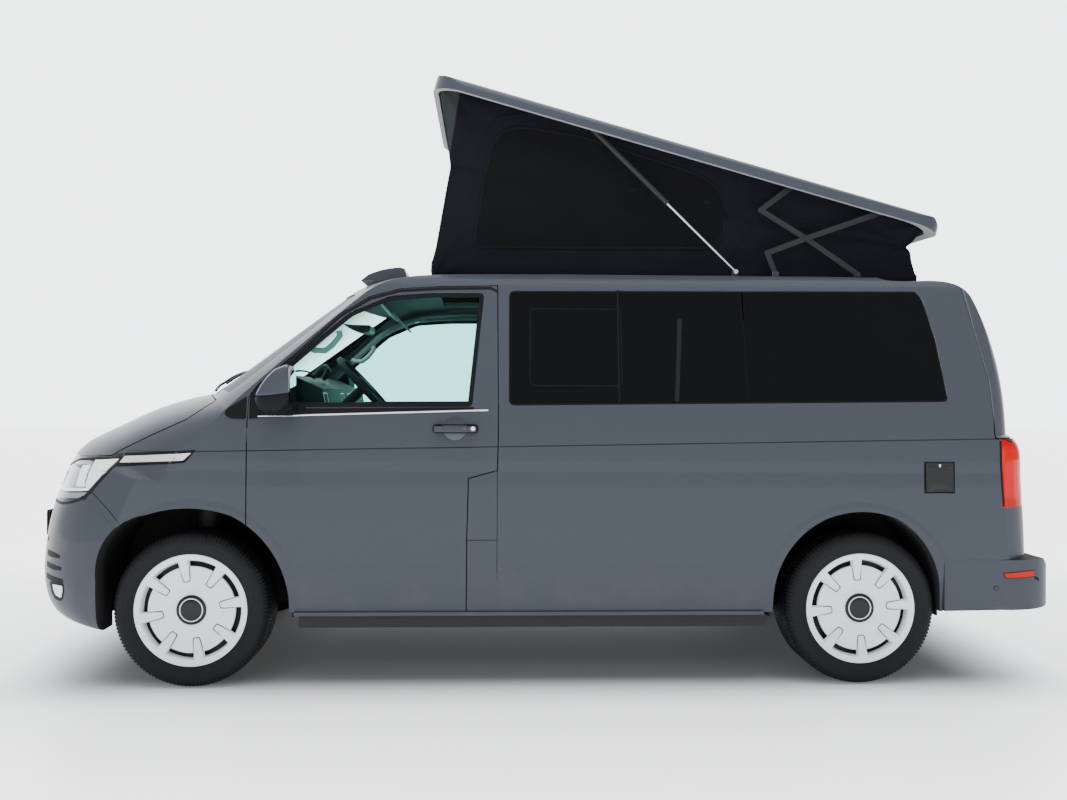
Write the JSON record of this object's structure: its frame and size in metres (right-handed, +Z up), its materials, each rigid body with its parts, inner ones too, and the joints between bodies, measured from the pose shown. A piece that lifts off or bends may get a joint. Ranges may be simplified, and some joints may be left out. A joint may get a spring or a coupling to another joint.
{
  "type": "camper van with a raised pop-up roof",
  "caption": "Camper van with a hollow cab and load space, opening doors, bonnet and tailgate, steered front wheels, and a pop-up sleeping roof on scissor links with canvas sides.",
  "frame": {"origin": "Ground level below the middle of the van: half way along its length, on its centre plane.", "axes": "+X towards the rear, +Y towards the vehicle's right side, +Z up."},
  "size_m": [4.904, 2.292, 2.8476],
  "materials": {
    "body_paint": "gloss",
    "lamp_clear": "clear",
    "grille_black": "gloss",
    "screen_glass": "clear",
    "dark_glass": "tinted",
    "lamp_red": "gloss",
    "tyre_rubber": "matte",
    "wheel_silver": "gloss",
    "chassis_black": "satin",
    "liner_black": "matte",
    "cast_metal": "rough",
    "exhaust_steel": "brushed",
    "cab_plastic": "grained",
    "seat_cloth": "woven",
    "canvas": "woven",
    "bar_black": "satin",
    "strut_black": "gloss",
    "rod_steel": "polished",
    "trim_black": "grained",
    "tank_plastic": "matte"
  },
  "bodies": {
    "van": {"arch_liners": "liner_black", "body_side_left": "body_paint", "body_side_right": "body_paint", "dashboard": "cab_plastic", "engine_block": "cast_metal", "exhaust": "exhaust_steel", "front_bumper": "body_paint", "front_seats": "seat_cloth", "front_subframe": "chassis_black", "front_wings": "body_paint", "fuel_tank": "tank_plastic", "grille": "grille_black", "headlamps": "lamp_clear", "rear_axle": "chassis_black", "rear_bench": "seat_cloth", "rear_bumper": "body_paint", "rear_corners": "body_paint", "roof_canvas": "canvas", "roof_lip": "trim_black", "roof_panel": "body_paint", "screen_frame": "body_paint", "seat_bases": "cab_plastic", "side_windows": "dark_glass", "sliding_door": "body_paint", "tail_lamps": "lamp_red", "underbody": "chassis_black", "windscreen": "screen_glass"},
    "front_door_left_body": {"front_door_left": "body_paint", "front_door_glass_left": "screen_glass", "door_mirror_left": "body_paint"},
    "front_door_right_body": {"front_door_right": "body_paint", "front_door_glass_right": "screen_glass", "door_mirror_right": "body_paint"},
    "bonnet_body": {"bonnet": "body_paint"},
    "tailgate_body": {"tailgate": "body_paint", "tailgate_glass": "dark_glass"},
    "steer_left": {"knuckle_left": "cast_metal"},
    "steer_right": {"knuckle_right": "cast_metal"},
    "front_wheel_left_body": {"front_tyre_left": "tyre_rubber", "front_wheel_left": "wheel_silver"},
    "front_wheel_right_body": {"front_tyre_right": "tyre_rubber", "front_wheel_right": "wheel_silver"},
    "rear_wheel_left_body": {"rear_tyre_left": "tyre_rubber", "rear_wheel_left": "wheel_silver"},
    "rear_wheel_right_body": {"rear_tyre_right": "tyre_rubber", "rear_wheel_right": "wheel_silver"},
    "steering_wheel_body": {"steering_wheel": "cab_plastic"},
    "hookup_flap_body": {"hookup_flap": "trim_black"},
    "lower_arm_body": {"lower_arms": "bar_black"},
    "cross_arm_body": {"cross_arms": "bar_black"},
    "raised_roof": {"roof_shell": "body_paint"},
    "top_link_body": {"top_links": "bar_black"},
    "bottom_link_body": {"bottom_links": "bar_black"},
    "strut_tube_body": {"strut_tubes": "strut_black"},
    "strut_rod_body": {"strut_rods": "rod_steel"}
  },
  "joints": [
    {"name": "door_left_hinge", "type": "hinge", "parent": "van", "child": "front_door_left_body", "pos_m": [-1.297, -0.954, 1], "axis": [0, 0, -1], "range_deg": [0, 65]},
    {"name": "door_right_hinge", "type": "hinge", "parent": "van", "child": "front_door_right_body", "pos_m": [-1.297, 0.954, 1], "axis": [0, 0, 1], "range_deg": [0, 65]},
    {"name": "bonnet_hinge", "type": "hinge", "parent": "van", "child": "bonnet_body", "pos_m": [-1.434, 0, 1.3], "axis": [0, 1, 0], "range_deg": [0, 52]},
    {"name": "tailgate_hinge", "type": "hinge", "parent": "van", "child": "tailgate_body", "pos_m": [1.959, 0, 1.885], "axis": [0, -1, 0], "range_deg": [0, 85]},
    {"name": "steer_left_pivot", "type": "hinge", "parent": "van", "child": "steer_left", "pos_m": [-1.544, -0.722, 0.262], "axis": [0, 0.2106, 0.9776], "range_deg": [-35, 35]},
    {"name": "steer_right_pivot", "type": "hinge", "parent": "van", "child": "steer_right", "pos_m": [-1.544, 0.722, 0.262], "axis": [0, -0.2106, 0.9776], "range_deg": [-35, 35]},
    {"name": "front_left_spin", "type": "hinge", "parent": "steer_left", "child": "front_wheel_left_body", "pos_m": [-1.544, -0.814, 0.3435], "axis": [0, 1, 0], "continuous": true},
    {"name": "front_right_spin", "type": "hinge", "parent": "steer_right", "child": "front_wheel_right_body", "pos_m": [-1.544, 0.814, 0.3435], "axis": [0, 1, 0], "continuous": true},
    {"name": "rear_left_spin", "type": "hinge", "parent": "van", "child": "rear_wheel_left_body", "pos_m": [1.456, -0.814, 0.3435], "axis": [0, 1, 0], "continuous": true},
    {"name": "rear_right_spin", "type": "hinge", "parent": "van", "child": "rear_wheel_right_body", "pos_m": [1.456, 0.814, 0.3435], "axis": [0, 1, 0], "continuous": true},
    {"name": "steering_wheel_turn", "type": "hinge", "parent": "van", "child": "steering_wheel_body", "pos_m": [-0.845, -0.4, 1.344], "axis": [0.7312, 0, 0.6822], "range_deg": [-525, 525]},
    {"name": "hookup_flap_hinge", "type": "hinge", "parent": "van", "child": "hookup_flap_body", "pos_m": [1.809, -0.9535, 1.004], "axis": [-1, 0, 0], "range_deg": [0, 110]},
    {"name": "roof_lift", "type": "hinge", "parent": "van", "child": "lower_arm_body", "pos_m": [1.5416, 0, 1.893], "axis": [0, -1, 0], "range_deg": [0, 31.54], "deforming": ["roof_canvas"]},
    {"name": "cross_arm_pivot", "type": "hinge", "parent": "lower_arm_body", "child": "cross_arm_body", "pos_m": [1.2882, 0, 2.0638], "axis": [0, -1, 0], "range_deg": [-53.28, 0]},
    {"name": "roof_rear_pivot", "type": "hinge", "parent": "cross_arm_body", "child": "raised_roof", "pos_m": [1.64958, 0, 2.1919], "axis": [0, -1, 0], "range_deg": [0, 36.99]},
    {"name": "top_link_pivot", "type": "hinge", "parent": "raised_roof", "child": "top_link_body", "pos_m": [1.22805, 0, 2.31894], "axis": [0, -1, 0], "range_deg": [-52.44, 0]},
    {"name": "bottom_link_pivot", "type": "hinge", "parent": "van", "child": "bottom_link_body", "pos_m": [1.1373, 0, 1.893], "axis": [0, -1, 0], "range_deg": [0, 58.88]},
    {"name": "strut_top_pivot", "type": "hinge", "parent": "raised_roof", "child": "strut_tube_body", "pos_m": [0.24002, 0, 2.58531], "axis": [0, -1, 0], "range_deg": [0, 28.91]},
    {"name": "strut_slide", "type": "slide", "parent": "strut_tube_body", "child": "strut_rod_body", "axis": [-0.7175, 0, 0.6965], "range_m": [0, 0.1939]}
  ],
  "couplings": [
    {"joint": "steer_right_pivot", "follows": "steer_left_pivot", "ratio": 1},
    {"joint": "steering_wheel_turn", "follows": "steer_left_pivot", "ratio": 15},
    {"joint": "cross_arm_pivot", "follows": "roof_lift", "ratio": -1.6889},
    {"joint": "roof_rear_pivot", "follows": "roof_lift", "ratio": 1.1724},
    {"joint": "top_link_pivot", "follows": "roof_lift", "ratio": -1.6622},
    {"joint": "bottom_link_pivot", "follows": "roof_lift", "ratio": 1.8663},
    {"joint": "strut_top_pivot", "follows": "roof_lift", "ratio": 0.91618},
    {"joint": "strut_slide", "follows": "roof_lift", "m_per_rad": 0.35219}
  ]
}
